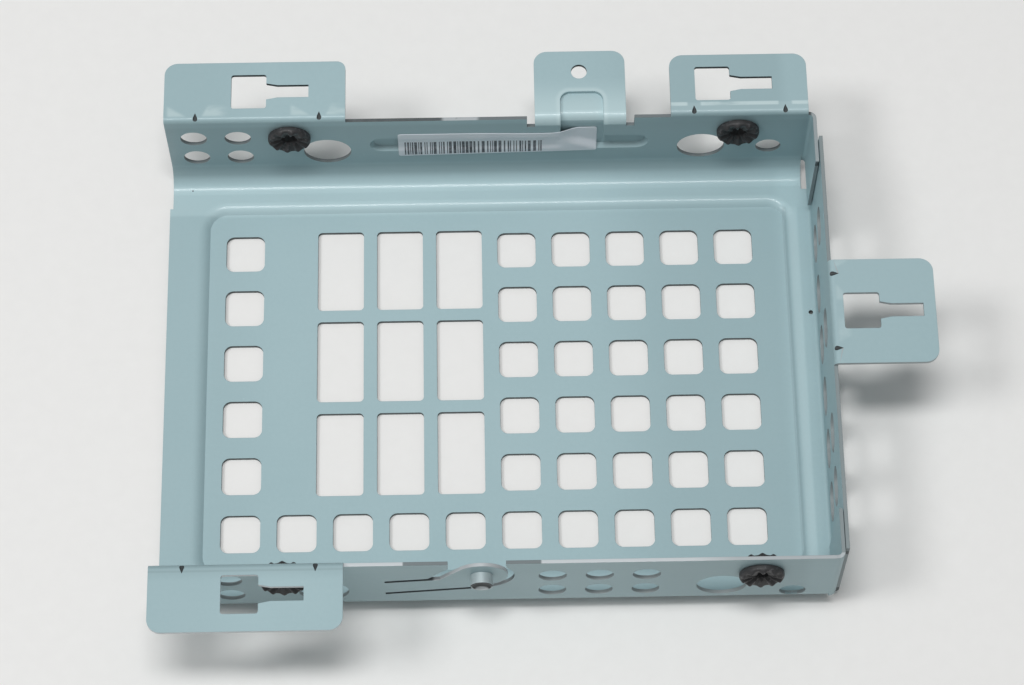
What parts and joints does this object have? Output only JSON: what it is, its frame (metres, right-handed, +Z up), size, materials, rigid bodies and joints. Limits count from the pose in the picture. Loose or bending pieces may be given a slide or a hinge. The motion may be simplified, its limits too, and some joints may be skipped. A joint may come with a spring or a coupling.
{
  "type": "hard drive mounting bracket",
  "caption": "Folded sheet-steel drive tray with a perforated base, keyhole tabs, a screw tab, rubber drive grommets and a sprung latch tongue with a stud.",
  "frame": {"origin": "on the underside of the pressed pan, under the middle of the base plate", "axes": "+X towards the closed end wall and the right tab, +Y towards the rear wall with the screw tab, +Z up out of the open tray"},
  "size_m": [0.1704, 0.1391, 0.0288],
  "materials": {
    "plated_steel": "satin zinc plating",
    "turned_steel": "bright turned",
    "black_rubber": "matte",
    "label_paper": "coated paper"
  },
  "bodies": {
    "tray": {"tray": "plated_steel", "grommet_rear_left": "black_rubber", "grommet_rear_right": "black_rubber", "grommet_front_left": "black_rubber", "grommet_front_right": "black_rubber", "label": "label_paper"},
    "latch": {"latch_finger": "plated_steel", "latch_stud": "turned_steel"}
  },
  "joints": [
    {"name": "latch_flex", "type": "hinge", "parent": "tray", "child": "latch", "pos_m": [-0.0243, -0.0534, 0.01425], "axis": [0, 0, 1], "range_deg": [0, 8], "stiffness_Nm_per_rad": 1.5}
  ]
}
